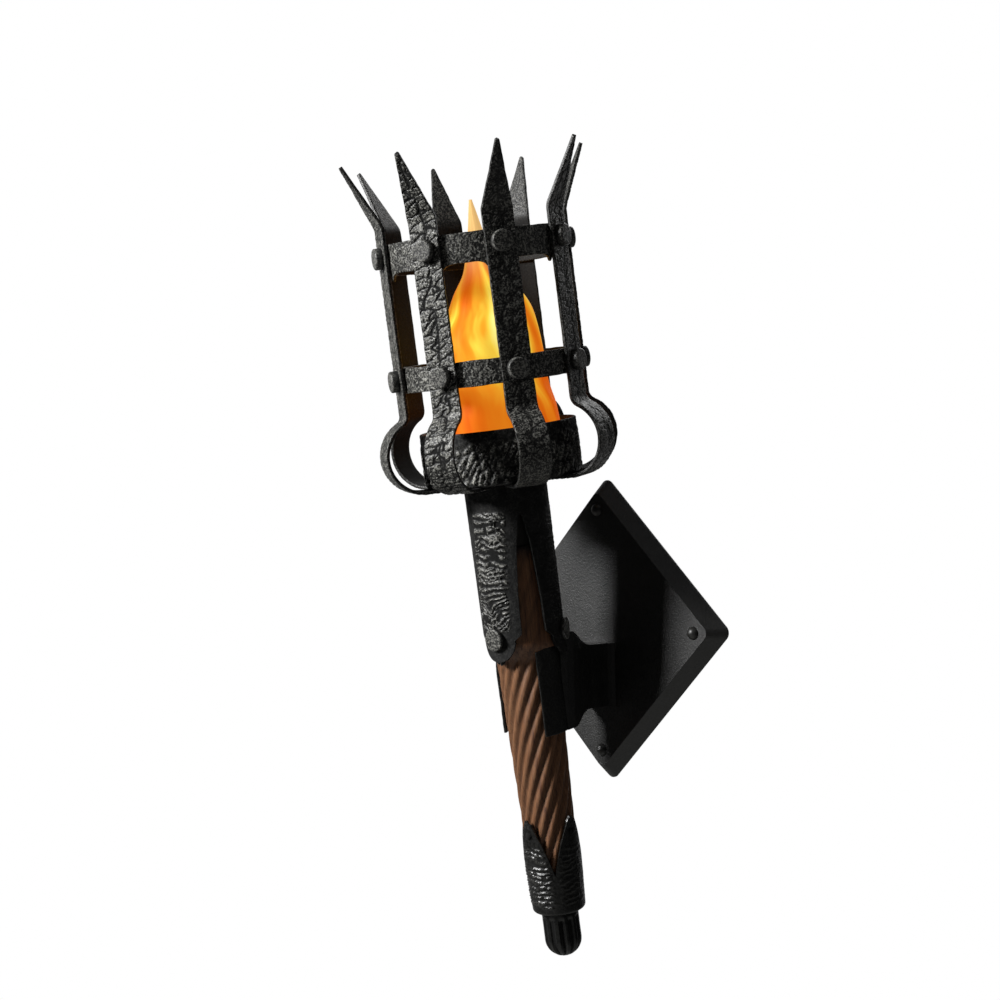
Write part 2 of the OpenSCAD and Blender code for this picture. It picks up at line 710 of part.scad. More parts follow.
module lamp() {
  z = holder_s + 11.6;
  color([0.95, 0.93, 0.88]) torch() translate([0, 0, z]) rotate_extrude() {
    union() {
      square([4.6, 3]);
      polygon([[0, 1.4], [8, 3], [13, 5.5], [13, 24], [14.5, 26], [18.5, 38], [lamp_r, 50],
        [lamp_r, lamp_len - lamp_r], [0, lamp_len - lamp_r]]);
      intersection() {
        translate([0, lamp_len - lamp_r]) circle(r = lamp_r);
        translate([0, lamp_len - lamp_r - 1]) square([lamp_r + 1, lamp_r + 2]);
      }
    }
  }
}
// the flame shape: height, radius, shift sideways; the body is flame_r wide
function flame_rows(w) = let (t = flame_tip, b = cup_rim, r = flame_r - w, f = flame_foot - w) [
  [flame_s0, f, 0], [b - 6, f, 0], [b + 12, f - 0.5, 0], [b + 21, r + 1, 0],
  [b + 32, r, 0.3], [b + 54, r, 1.2], [b + 72, r - 2, 2.6], [b + 84, r * 0.83, 4.8],
  [b + 94, r * 0.7, 6], [b + 104, r * 0.575, 5.4], [b + 115, r * 0.425, 4.4],
  [b + 128, r * 0.29 - w * 0.4, 3.4], [b + 146, r * 0.2 - w * 0.5, 2],
  [b + 163 - w, r * 0.115 - w * 0.4, 1.2], [t - 4 * w, r * 0.03, 0.6]];
module flame_form(w, n = 36) {
  q = flame_rows(w);
  m = len(q);
  dx = sin(135);
  dy = -cos(135);
  pts = [for (j = [0 : m - 1]) for (i = [0 : n - 1]) let (a = 360 * i / n)
    let (r = q[j][1] * (1 + 0.03 * sin(3 * a + q[j][0] * 2) * min(1, max(0, (q[j][0] - cup_rim) / 40))))
    [q[j][2] * dx + r * cos(a), q[j][2] * dy + r * sin(a), q[j][0]]];
  polyhedron(points = pts, faces = concat(
    [[for (i = [0 : n - 1]) i]],
    [for (j = [0 : m - 2]) for (i = [0 : n - 1])
      [j * n + i, (j + 1) * n + i, (j + 1) * n + (i + 1) % n, j * n + (i + 1) % n]],
    [[for (i = [n - 1 : -1 : 0]) (m - 1) * n + i]]), convexity = 6);
}
module flame_diffuser() {
  color([1.0, 0.62, 0.15]) torch() difference() {
    flame_form(0);
    translate([0, 0, -0.5]) flame_form(flame_wall);
  }
}

wall_plate();
mounting_cross();
plate_studs();
cap_nuts();
ground_screw();
arm();
arm_screws();
clasp();
clasp_screws();
shaft();
sleeve();
petal_rivets();
neck_tube();
ferrule();
ferrule_rivets();
tip_finial();
cup();
spacer_disc();
strap_1();
strap_2();
strap_3();
strap_4();
strap_5();
strap_6();
strap_7();
strap_8();
ring_upper();
ring_lower();
rivets_upper();
rivets_lower();
foot_screws();
nipple();
nipple_nuts();
lampholder();
contact_button();
leads();
lamp();
flame_diffuser();
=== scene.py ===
import bmesh
import bpy
import numpy as np
from mathutils import Matrix, Vector


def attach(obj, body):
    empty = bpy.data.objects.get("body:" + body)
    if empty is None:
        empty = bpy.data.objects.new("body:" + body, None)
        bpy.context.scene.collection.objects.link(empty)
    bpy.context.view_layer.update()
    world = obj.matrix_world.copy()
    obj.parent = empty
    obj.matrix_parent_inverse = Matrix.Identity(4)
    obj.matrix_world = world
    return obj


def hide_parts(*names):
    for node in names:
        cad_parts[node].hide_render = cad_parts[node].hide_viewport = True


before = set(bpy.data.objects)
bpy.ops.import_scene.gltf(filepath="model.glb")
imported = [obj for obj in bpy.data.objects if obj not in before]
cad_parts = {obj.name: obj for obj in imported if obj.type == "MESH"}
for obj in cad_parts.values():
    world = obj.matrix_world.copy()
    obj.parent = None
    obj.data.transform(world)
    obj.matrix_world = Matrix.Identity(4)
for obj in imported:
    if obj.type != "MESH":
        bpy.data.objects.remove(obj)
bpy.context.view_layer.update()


# ---- Camera and studio ----
# The camera stands at the torch's front right, 1.55 m off, level with the sleeve. A softbox
# from the front left is the main light, three weak ones open up the other sides, and a pale floor
# lies 1.5 m below, as under a real wall light.
def srgb(code):
    """Linear colour of an sRGB hex value: c / 12.92 near black, else ((c + 0.055) / 1.055) to the
    power 2.4."""
    c = np.array([int(code[i:i + 2], 16) for i in (1, 3, 5)]) / 255
    return (*np.where(c < 0.04, c / 12.92, ((c + 0.055) / 1.055) ** 2.4).tolist(), 1.0)


def put(tree, kind, links=None, **settings):
    """Adds a node: settings are its properties, links its sockets' values or what feeds them."""
    n = tree.nodes.new("ShaderNode" + kind)
    for key, value in settings.items():
        setattr(n, key, value)
    for key, value in (links or {}).items():
        if isinstance(value, bpy.types.NodeSocket):
            tree.links.new(value, n.inputs[key])
        else:
            n.inputs[key].default_value = value
    return n


def calc(tree, operation, *values):
    """One sum on numbers or on what feeds them."""
    return put(tree, "Math", dict(enumerate(values)), operation=operation).outputs[0]


def mix(tree, factor, a, b, blend="MIX"):
    """Colour a with colour b blended over it by factor."""
    return put(tree, "Mix", {"Factor": factor, "A": a, "B": b}, data_type="RGBA",
               blend_type=blend).outputs["Result"]


def span(tree, value, low, high, start=0.0, end=1.0, curve="SMOOTHSTEP"):
    """start where value is low or less, end where it is high or more, and the curve between."""
    links = {"Value": value, "From Min": low, "From Max": high, "To Min": start, "To Max": end}
    return put(tree, "MapRange", links, interpolation_type=curve).outputs[0]


turn, tilt, roll = np.radians([45.07, -0.59, -1.14])
back = np.array([np.sin(turn) * np.cos(tilt), -np.cos(turn) * np.cos(tilt), np.sin(tilt)])
side = np.cross([0, 0, 1], back)
side /= np.linalg.norm(side)
up = np.cross(back, side)
view = np.eye(4)
view[:3, 0] = np.cos(roll) * side + np.sin(roll) * up
view[:3, 1] = -np.sin(roll) * side + np.cos(roll) * up
view[:3, 2] = back
view[:3, 3] = (1.0281, -1.1568, 0.0961)
lens = bpy.data.cameras.new("camera")
lens.lens, lens.sensor_width, lens.clip_start, lens.clip_end = 64.8, 36.0, 0.05, 40.0
camera = bpy.data.objects.new("camera", lens)
camera.matrix_world = Matrix(view.tolist())
bpy.context.scene.collection.objects.link(camera)
bpy.context.scene.camera = camera
bpy.context.scene.view_settings.view_transform = "Standard"


def softbox(name, azimuth, height, distance, width, level):
    """A square light round the torch, azimuth degrees from the front towards +X and height degrees
    up, distance and width in metres. level is how bright it makes a white card that faces it:
    power = level * (pi * distance)^2."""
    a, h = np.radians([azimuth, height])
    middle = Vector((0, -0.11, 0.09))
    way = Vector((np.sin(a) * np.cos(h), -np.cos(a) * np.cos(h), np.sin(h)))
    light = bpy.data.lights.new(name, "AREA")
    light.size, light.energy = width, float(level * (np.pi * distance) ** 2)
    lamp_head = bpy.data.objects.new(name, light)
    facing = way.to_track_quat("Z", "Y").to_matrix().to_4x4()
    lamp_head.matrix_world = Matrix.Translation(middle + way * distance) @ facing
    bpy.context.scene.collection.objects.link(lamp_head)


softbox("key_softbox", -25, 24, 2.2, 0.5, 1.52)
softbox("right_softbox", 118, 22, 2.4, 1.2, 0.02)
softbox("top_softbox", 70, 62, 2.4, 1.4, 0.03)
softbox("back_softbox", 200, 32, 2.4, 1.4, 0.22)

world = bpy.data.worlds.new("studio")
bpy.context.scene.world = world
world.use_nodes = True
sky = world.node_tree
sky.nodes.clear()
ray = put(sky, "LightPath").outputs
# the white sweep stands behind the torch, so that gloss shows it there and the dark room elsewhere
behind = put(sky, "VectorMath", {0: put(sky, "TexCoord").outputs["Generated"],
                                 1: (-0.708, 0.706, 0)}, operation="DOT_PRODUCT").outputs["Value"]
seen = calc(sky, "MULTIPLY", ray["Is Glossy Ray"], span(sky, behind, 0.5, 0.9, end=0.4))
seen = calc(sky, "MAXIMUM", seen, ray["Is Transmission Ray"])
seen = calc(sky, "MAXIMUM", seen, ray["Is Camera Ray"])
air = mix(sky, seen, (0.020, 0.020, 0.0205, 1), (1, 1, 1, 1))
air = put(sky, "Background", {"Color": air, "Strength": 1.0}).outputs[0]
put(sky, "OutputWorld", {"Surface": air})

floor_z = -1.5
floor_mesh = bpy.data.meshes.new("floor")
floor_mesh.from_pydata([(-3, -3.2, floor_z), (3, -3.2, floor_z), (3, 2.8, floor_z),
                        (-3, 2.8, floor_z)], [], [(0, 1, 2, 3)])
floor = bpy.data.objects.new("floor", floor_mesh)
bpy.context.scene.collection.objects.link(floor)
# matt painted floor: pale all over, and the torch's shadow still lies on it
paint = bpy.data.materials.new("floor_paint")
paint.use_nodes = True
t = paint.node_tree
t.nodes.clear()
ray = put(t, "LightPath").outputs
seen = calc(t, "MAXIMUM", ray["Is Camera Ray"], ray["Is Transmission Ray"])
glow = put(t, "Emission", {"Strength": calc(t, "MULTIPLY", seen, 0.70)}).outputs[0]
both = put(t, "AddShader", {0: put(t, "BsdfDiffuse", {"Color": srgb("#b8b8b5")}).outputs[0],
                            1: glow}).outputs[0]
put(t, "OutputMaterial", {"Surface": both})
floor_mesh.materials.append(paint)


# ---- Mounting cross, studs and ground screw ----
# The steel cross that is screwed to the box in the wall, with four studs for the plate and a green
# ground screw. Bright zinc plating: faint cloudy spangle and a fine brushed line.
def material(name):
    """A new material with an empty node tree, and its tree."""
    m = bpy.data.materials.new(name)
    m.use_nodes = True
    m.node_tree.nodes.clear()
    return m, m.node_tree


def surface(tree, links):
    """Ends a material's tree in one Principled shader with these sockets."""
    shader = put(tree, "BsdfPrincipled", links)
    put(tree, "OutputMaterial", {"Surface": shader.outputs[0]})


def ramp(tree, value, *stops):
    """Colours or levels along a value: stops are (place, colour)."""
    n = put(tree, "ValToRGB", {"Fac": value})
    line = n.color_ramp.elements
    while len(line) < len(stops):
        line.new(0.5)
    for e, (place, colour) in zip(line, stops):
        e.position = place
        e.color = srgb(colour) if isinstance(colour, str) else (colour,) * 3 + (1,)
    return n.outputs["Color"]


def noise(tree, size, detail=2.0, rough=0.5, at=None):
    """Soft noise over the piece, or over the places in at. size is how wide its lumps are in mm,
    one number or one each for x, y and z."""
    if at is None:
        at = put(tree, "TexCoord").outputs["Object"]
    if isinstance(size, tuple):
        at = put(tree, "Mapping", {"Vector": at, "Scale": tuple(1000 / d for d in size)}).outputs[0]
        size = 1000
    return put(tree, "TexNoise", {"Vector": at, "Scale": 1000 / size, "Detail": detail,
                                  "Roughness": rough}).outputs["Fac"]


def bump(tree, height, strength, depth):
    """The normal of a surface that height dents by up to depth mm."""
    return put(tree, "Bump", {"Height": height, "Strength": strength,
                              "Distance": depth / 1000}).outputs[0]


def finish(mat, *names):
    """Gives CAD nodes a material in their objects' own slots."""
    for name in names:
        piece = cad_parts[name]
        if not piece.material_slots:
            piece.data.materials.append(mat)
        for place in piece.material_slots:
            place.material = mat


zinc, t = material("zinc_plated_steel")
brush = noise(t, (0.6, 0.6, 30))
surface(t, {"Base Color": ramp(t, noise(t, 9, 4.0), (0.3, "#a9adb2"), (0.7, "#cdd0d3")),
            "Metallic": 1.0, "Roughness": ramp(t, brush, (0.3, 0.26), (0.7, 0.44)),
            "Normal": bump(t, brush, 0.3, 0.1)})
finish(zinc, "mounting_cross", "plate_studs")

# green chromate on the ground screw, thin enough for the zinc to shine through
green, t = material("green_chromate")
surface(t, {"Base Color": ramp(t, noise(t, 1.5), (0.3, "#1d6b34"), (0.7, "#2f8a48")),
            "Metallic": 0.8, "Roughness": 0.35})
finish(green, "ground_screw")


# ---- Wall plate ----
# Pressed steel pan with a square front, its sloping rim against the wall, hung by a corner.
# Black powder coat, baked: satin, with a fine orange peel that catches the light as grain.
def powder_coat(name, coat="#0f0f0e", worn="#4b4a47", grain=0.9, depth=0.16, relief=False,
                rough=(0.48, 0.34)):
    """Black powder coat on iron. grain is the width of the orange peel in mm and depth its height.
    relief is for a hammered piece, which keeps its height in the mark "relief", from 0 in a groove
    to 1: the heights are rubbed to the worn tone, partly wear and partly painted highlight, with a
    grit drawn coarser than the real one, which is too fine to show, and the grooves are darkened,
    painted shade, and stay matt."""
    mat, t = material(name)
    peel = noise(t, grain, 3.0, 0.62)
    tone = ramp(t, noise(t, 17, 5.0, 0.6), (0.3, coat), (0.75, "#171716"))
    matt = ramp(t, peel, (0.3, rough[0]), (0.7, rough[1]))
    if relief:
        high = put(t, "Attribute", attribute_name="relief").outputs["Fac"]
        # the heights turn to the worn tone: partly rubbed wear, partly painted highlight
        rub_and_highlight = calc(t, "MULTIPLY", ramp(t, peel, (0.47, 0.0), (0.59, 1.0)), high)
        tone = mix(t, rub_and_highlight, tone, srgb(worn))
        # painted shade: grooves and low places darken the coat to a fifth
        tone = mix(t, 1.0, tone, ramp(t, high, (0.05, 0.2), (0.5, 1.0)), "MULTIPLY")
        matt = calc(t, "MAXIMUM", matt, ramp(t, high, (0.05, 0.95), (0.45, 0.0)))
    surface(t, {"Base Color": tone, "Roughness": matt, "Normal": bump(t, peel, 1.0, depth),
                "Specular IOR Level": 0.45 if relief else 0.7})
    return mat


plate_coat = powder_coat("black_powder_coat", coat="#242423", depth=0.3, grain=1.3,
                         rough=(0.5, 0.38))
finish(plate_coat, "wall_plate")


# ---- Cap nuts ----
# Domed nuts on the studs at the plate's four corners. Powder coat like the plate's, with a
# shallower peel, so that each dome keeps one soft highlight.
nut_coat = powder_coat("black_coated_nut", coat="#252523", grain=1.4, depth=0.08)
finish(nut_coat, "cap_nuts")


# ---- Arm and clasp ----
# The arm is a hollow box of welded sheet, waisted, that widens to the clasp. The clasp is a half
# round sheet with its mouth to the front. Two screws through both hold the shaft.
finish(plate_coat, "arm")
finish(zinc, "arm_screws", "clasp_screws")

torch_lean, torch_out = np.radians(8.75), 106


def torch(x, y, s):
    """Points measured on the torch's own axis, s along it, leaned off the wall by torch_lean and
    moved out by torch_out: y turns to y cos - s sin and z to y sin + s cos. Millimetres in, metres
    out."""
    sin, cos = np.sin(torch_lean), np.cos(torch_lean)
    return np.stack(np.broadcast_arrays(x, y * cos - s * sin - torch_out, y * sin + s * cos),
                    -1) / 1000


def polar(r, a, s):
    """Points at radius r and angle a, in radians from the front, of the torch's own axis."""
    return torch(r * np.sin(a), -r * np.cos(a), s)


def skin(name, patches, rows_meet=False, columns_meet=False, capped=False, thick=0, edge=0):
    """A mesh from patches, each a grid of points and marks kept on them for its material.
    Neighbours in a grid make four-sided faces. capped closes the first and last rows with a fan,
    and thick and edge, in mm, give a sheet its wall, inwards, and its rounded edges."""
    points, faces, marks, start = [], [], {}, 0
    for grid, notes in patches:
        rows, cols = grid.shape[:2]
        i = start + np.arange(rows * cols).reshape(rows, cols)
        a = np.vstack([i, i[:1]]) if rows_meet else i
        a = np.hstack([a, a[:, :1]]) if columns_meet else a
        quads = np.stack([a[:-1, :-1], a[:-1, 1:], a[1:, 1:], a[1:, :-1]], -1)
        faces += quads.reshape(-1, 4).tolist()
        points.append(grid.reshape(-1, 3))
        extra = 0
        if capped:
            for row, tip in ((i[0], start + rows * cols), (i[-1], start + rows * cols + 1)):
                faces += np.stack([row, np.roll(row, -1), np.full(cols, tip)], -1).tolist()
            points.append(np.stack([grid[0].mean(0), grid[-1].mean(0)]))
            extra = 2
        for key, value in notes.items():
            value = np.broadcast_to(value, (rows, cols) + value.shape[2:]).reshape(rows * cols, -1)
            ends = [value[:cols].mean(0), value[-cols:].mean(0)] if extra else []
            marks.setdefault(key, []).append(np.vstack([value] + ends))
        start += rows * cols + extra
    mesh = bpy.data.meshes.new(name)
    mesh.from_pydata(np.vstack(points).tolist(), [], faces)
    for key, value in marks.items():
        value = np.vstack(value).astype(np.float32)
        wide = value.shape[1] == 3
        mark = mesh.attributes.new(key, "FLOAT_VECTOR" if wide else "FLOAT", "POINT")
        mark.data.foreach_set("vector" if wide else "value", value.ravel())
    shape = bmesh.new()
    shape.from_mesh(mesh)
    bmesh.ops.remove_doubles(shape, verts=shape.verts, dist=2e-6)
    bmesh.ops.recalc_face_normals(shape, faces=shape.faces)
    if not thick and shape.calc_volume(signed=True) < 0:
        bmesh.ops.reverse_faces(shape, faces=shape.faces)
    shape.to_mesh(mesh)
    shape.free()
    mesh.polygons.foreach_set("use_smooth", np.ones(len(mesh.polygons), bool))
    piece = bpy.data.objects.new(name, mesh)
    bpy.context.scene.collection.objects.link(piece)
    if thick:
        wall = piece.modifiers.new("wall", "SOLIDIFY")
        wall.thickness, wall.offset, wall.use_even_offset = thick / 1000, -1.0, False
    if edge:
        soft = piece.modifiers.new("edge", "BEVEL")
        soft.width, soft.segments, soft.angle_limit = edge / 1000, 2, np.radians(62)
        soft.use_clamp_overlap = True
    return piece


def fit(piece, mat, slot, *nodes, body="sconce"):
    """Puts a piece in the frame: its material, its body and what it stands for. slot is not used.
    """
    piece.data.materials.append(mat)
    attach(piece, body)
    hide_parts(*nodes)


def cloud(x, y, seed, wrap=64):
    """Soft noise from 0 to 1: a random number at each whole x and y, blended between the four round
    a point by 3t^2 - 2t^3. It repeats after wrap steps of x, so it closes round a shaft."""
    table = np.random.default_rng(seed).random((64, wrap))
    i, j = np.floor(x).astype(int), np.floor(y).astype(int)
    u, v = x - i, y - j
    u, v = u * u * (3 - 2 * u), v * v * (3 - 2 * v)
    low = table[j % 64, i % wrap] * (1 - u) + table[j % 64, (i + 1) % wrap] * u
    high = table[(j + 1) % 64, i % wrap] * (1 - u) + table[(j + 1) % 64, (i + 1) % wrap] * u
    return low * (1 - v) + high * v


def step(value, low, high):
    """0 below low, 1 above high and 3t^2 - 2t^3 between."""
    t = np.clip((value - low) / (high - low), 0, 1)
    return t * t * (3 - 2 * t)


# the lips of the mouth lie mouth degrees from the front, and the top edge is hollowed to a radius
clasp_r, clasp_low, clasp_top, clasp_wall, mouth, hollow_r = 28.0, -79.5, -10.7, 2.4, 59, 30
a = np.radians(np.linspace(mouth, 360 - mouth, 150))[None, :]
hollow = clasp_top + hollow_r - np.sqrt(
    np.maximum(0, hollow_r ** 2 - (20 - clasp_r * np.cos(a)) ** 2))
high = np.minimum(hollow, clasp_top + 11.5)
s = clasp_low + (high - clasp_low) * np.linspace(0, 1, 64)[:, None]
dents = cloud(a * 6, s / 9, 3) * cloud(a * 14, s / 4, 4)
lip = step(np.abs(a - np.pi), 1.9, 2.11)
r = clasp_r - 0.5 * dents - 0.5 * step(cloud(0 * a, s / 6, 5), 0.3, 0.9) * lip
clasp = skin("clasp_sheet", [(polar(r, a, s), {"relief": 1 - 0.5 * dents})],
             thick=clasp_wall, edge=0.6)
# its rubbed tone is kept near black, a darker copy of the hammered coat: painted shade for the
# clasp, which lies in shadow
fit(clasp, powder_coat("hammered_clasp_coat", worn="#2c2c2a", relief=True, grain=1.6, depth=0.22),
    "powder_coat", "clasp")


# ---- Shaft ----
# Turned walnut: a plain round top under the petals, and below it fifteen reeds that climb to the
# right, once round in 340 mm. Oiled, with straight open grain that the reeds cut across.
wood_low, wood_top, reed_start, reeds, reed_lead = -228.5, 76.5, -16.0, 15, 340
s = np.concatenate([np.linspace(wood_low, reed_start - 12, 150),
                    np.linspace(reed_start - 11, 2, 26), np.linspace(4, wood_top, 40)])[:, None]
# the mesh turns with the reeds, twenty columns to each, and climbs to the right as it goes round
start = np.linspace(0, 2 * np.pi, 20 * reeds, endpoint=False)[None, :]
a = start + 2 * np.pi * (s - wood_low) / reed_lead
taper = np.interp(s, [wood_low, reed_start], [19.6, 25.2])
cut = 2.0 * (0.5 - 0.5 * np.cos(reeds * start)) ** 1.3 + 0 * s
swell = step(s, reed_start - 1, reed_start + 15)
r = (taper - cut * (1 - step(s, reed_start - 3, reed_start + 6))) * (1 - swell) + 29.7 * swell
per_radian = 9.549       # steps of noise in a radian: sixty go once round
r = r + 0.10 * (cloud(a * per_radian, s / 14, 8, 60) - 0.5)
grain = np.stack(np.broadcast_arrays(r * np.sin(a), -r * np.cos(a), s), -1) / 1000
shaft = skin("shaft_wood", [(polar(r, a, s), {"cut": cut / 2.0, "grain": grain})],
             columns_meet=True, capped=True)


def bend(tree, at, per_metre, reach, detail=2.0):
    """The places in at pushed about by noise with per_metre lumps to the metre, by up to reach mm
    along x, y and z."""
    push = put(tree, "TexNoise", {"Vector": at, "Scale": per_metre, "Detail": detail})
    push = put(tree, "VectorMath", {0: push.outputs["Color"], 1: tuple(d / 1000 for d in reach)},
               operation="MULTIPLY").outputs[0]
    return put(tree, "VectorMath", {0: at, 1: push}, operation="ADD").outputs[0]


# oiled wood: growth bands about 4.5 mm apart and open pores under 1 mm wide and 18 mm long, both
# along the shaft, with a dull shine that the pores break
walnut, t = material("oiled_walnut")
at = put(t, "Attribute", attribute_name="grain").outputs["Vector"]
bands = noise(t, (4.5, 4.5, 300), 4.0, 0.6, at=bend(t, at, 14.0, (12, 12, 0)))
pores = noise(t, (0.8, 0.8, 18), 3.0, 0.7, at=at)
tone = ramp(t, bands, (0.28, "#563421"), (0.45, "#7d5437"), (0.6, "#8b6244"), (0.75, "#644028"))
tone = mix(t, 0.8, tone, ramp(t, pores, (0.36, 0.45), (0.5, 1.0)), "MULTIPLY")
# painted shade: the reeds' grooves are darkened, most at their bottoms
groove_shade = put(t, "Attribute", attribute_name="cut").outputs["Fac"]
tone = mix(t, 1.0, tone, ramp(t, groove_shade, (0.4, 1.0), (1.0, 0.72)), "MULTIPLY")
# painted shade: the wood's top end darkens to near black, where it lies in the shadow inside the
# sleeve
top_shade = span(t, put(t, "SeparateXYZ", {"Vector": at}).outputs["Z"], 0.060, 0.076, curve="LINEAR")
tone = mix(t, 1.0, tone, ramp(t, top_shade, (0.2, 1.0), (0.9, 0.12)), "MULTIPLY")
surface(t, {"Base Color": tone, "Roughness": ramp(t, pores, (0.35, 0.62), (0.6, 0.42)),
            "Normal": bump(t, pores, 0.5, 0.3)})
fit(shaft, walnut, "walnut", "shaft")


# ---- Sleeve ----
# Iron tube over the wood's top, cut into three petals that end in a round tongue and hug the
# shaft. The petals' middles are chased with short wavy ridges, like bark, and then coated.
def cells(x, y, seed, wrap=64):
    """Borders of uneven cells: each unit square holds one random centre, and the value is how much
    further the second nearest centre is than the nearest, so 0 on a border. It repeats like
    cloud."""
    table = np.random.default_rng(seed).random((64, wrap, 2)) * 0.84 + 0.08
    i, j = np.floor(x).astype(int), np.floor(y).astype(int)
    near = []
    for n in (-1, 0, 1):
        for m in (-1, 0, 1):
            c = table[(j + n) % 64, (i + m) % wrap]
            near.append(np.hypot(i + m + c[..., 0] - x, j + n + c[..., 1] - y))
    near = np.sort(np.stack(near), 0)
    return near[1] - near[0]


def worms(x, s, seed, tall, tip=0.0):
    """Thin raised lines, 0 in the gaps and 1 on a crest: waves tall mm apart that lie across the
    sheet, wander with soft noise, break off and are joined by the borders of cells. tip shifts them
    along the sheet, to bend them into chevrons."""
    sway = 1.3 * (cloud(x / 8, s / 9, seed) - 0.5) + 0.3 * (cloud(x / 2.6, s / 3, seed + 1) - 0.5)
    lines = (0.5 + 0.5 * np.cos(2 * np.pi * ((s - tip) / tall + sway))) ** 1.5
    lines = lines * step(cloud(x / 4.2, s / tall, seed + 2), 0.14, 0.34)
    net = 1 - step(cells(x / 6.0 + sway, s / 5.2 + sway, seed + 3), 0.03, 0.30)
    net = 0.9 * net * step(cloud(x / 12, s / 14, seed + 4), 0.40, 0.60)
    return np.clip(np.maximum(lines, net), 0, 1)


# the petals part at the notches and narrow to a tongue, a half round of radius tongue_r
sleeve_top, sleeve_notch, tongue_c, tongue_r, sleeve_wall = 127.0, 102.7, 2.0, 17.0, 2.8
s = np.concatenate([
    [sleeve_top] * 2, np.linspace(sleeve_top - 0.6, sleeve_notch, 26),
    np.linspace(sleeve_notch - 0.5, 7, 176), np.linspace(6.2, 2.2, 6),
    tongue_c - tongue_r * np.sin(np.linspace(0, np.pi / 2, 24))])
half = np.interp(s, [2, 7, 35, wood_top, sleeve_notch],
                 [16.7, 22, 22.8, 25.4, 32.9 * np.sin(np.pi / 3)])
half[s < 2] = np.sqrt(np.maximum(0.0, tongue_r ** 2 - (s[s < 2] - tongue_c) ** 2))
half, s = half[:, None], s[:, None]
radius = np.interp(s, [-17, sleeve_top], [32.9, 33.8])
# where the chasing ends on either side of a petal, in degrees from its middle
chased_left = np.interp(s, [10, 50, 98], [-31, -25, -14])
chased_right = np.interp(s, [10, 50, 98], [25, 31, 38])
patches = []
for k in range(3):
    u = np.linspace(-1, 1, 84 if k == 0 else 36)[None, :]
    wide = np.where(s >= sleeve_notch, np.pi / 3,
                    np.arcsin(np.clip(half / radius, 0, np.sin(np.pi / 3))))
    a = wide * u + k * 2 * np.pi / 3
    x, degrees = radius * wide * u, np.degrees(wide * u)
    lines = worms(x, s, 20 + 7 * k, 5.4, tip=step(48 - s, 0, 25) * np.abs(x + 3) * 0.9)
    worn = step(s, 108, 104) * step(s, 9, 13) * step(degrees, chased_left - 2, chased_left + 3)
    worn = worn * step(degrees, chased_right + 3, chased_right - 3) * (1 if k == 0 else 0.2)
    rough = 0.5 * cloud(x / 1.9, s / 1.9, 50 + k) + 0.5 * cloud(x / 5, s / 5, 51 + k)
    edge = step(np.abs(u), 1.0, 0.93) * step(sleeve_top - s, 3, 9)
    plain = (0.25 + 0.3 * step(s, 6, 0)) * (rough - 0.6)
    r = radius + edge * (worn * (1.5 * lines - 0.3) + plain)
    r[0] = 6.0       # the first row is the hole in the sleeve's closed top
    # the chased crests take the pale worn tone, partly painted highlight, and the plain coat is
    # darkened, painted shade
    high = np.clip(0.12 + 0.22 * (rough - 0.5) + worn * (1.05 * lines - 0.15), 0, 1)
    patches.append((polar(r, a, s), {"relief": high}))
sleeve = skin("sleeve_petals", patches, thick=sleeve_wall, edge=0.5)
fit(sleeve, powder_coat("chased_sleeve_coat", worn="#96958f", relief=True, grain=1.5, depth=0.42),
    "powder_coat", "sleeve")

# the tube between the wood and the sleeve's top is bare blackened steel, seen in the notches: a
# brown black with a faint drawn line
black_tube, t = material("blackened_steel_tube")
drawn = noise(t, (1, 1, 30))
surface(t, {"Base Color": ramp(t, drawn, (0.3, "#2b2826"), (0.7, "#3b3734")), "Metallic": 0.6,
            "Roughness": 0.55, "Normal": bump(t, drawn, 0.3, 0.1)})
finish(black_tube, "neck_tube")


# ---- Petal rivets ----
# One large flat rivet in each tongue. The heads are cast: a coarse flat face, a soft round edge.
def button(place, r, h, seed, drop=1.2):
    """One rivet head as a patch: rows run from its skirt, drop mm under the seat, up its side,
    round the edge and in to the middle. place turns (x, y, height) over the seat into points."""
    turn = np.linspace(0, 2 * np.pi, 56, endpoint=False)[None, :]
    e = min(0.25 * h, 0.16 * r)
    bow = np.linspace(0, np.pi / 2, 7)
    rr = np.concatenate([[r - 0.3, r], r - e + e * np.cos(bow),
                         (r - e) * np.linspace(0.93, 0.02, 13)])[:, None]
    zz = np.concatenate([[-drop, 0.2], h - e + e * np.sin(bow), np.full(13, h)])[:, None]
    x, y = rr * np.cos(turn), rr * np.sin(turn)
    grit = 0.6 * cloud(x / 1.5 + 20, y / 1.5 + 20, seed)
    grit = grit + 0.4 * cloud(x / 3.4 + 20, y / 3.4 + 20, seed + 1)
    lump = 1 + 0.02 * (cloud(2 + np.cos(turn) * 1.5, 2 + np.sin(turn) * 1.5, seed + 2) - 0.5)
    zz = zz + step(zz, 0.3, h) * 0.12 * (grit - 0.75)
    # the faces take the pale worn tone, partly rubbed wear and partly painted highlight, and the
    # sides under them are darkened, painted shade
    high = np.clip(0.5 + 0.7 * grit, 0, 1) * step(zz, h * 0.3, h * 0.9)
    return place(x * lump, y * lump, zz), {"relief": high}


def on_torch(r, a, s):
    """Where a rivet head sits: x sideways, y along the torch and z out from radius r at angle a."""
    return lambda x, y, z: torch((r + z) * np.sin(a) + x * np.cos(a),
                                 -(r + z) * np.cos(a) + x * np.sin(a), s + y)


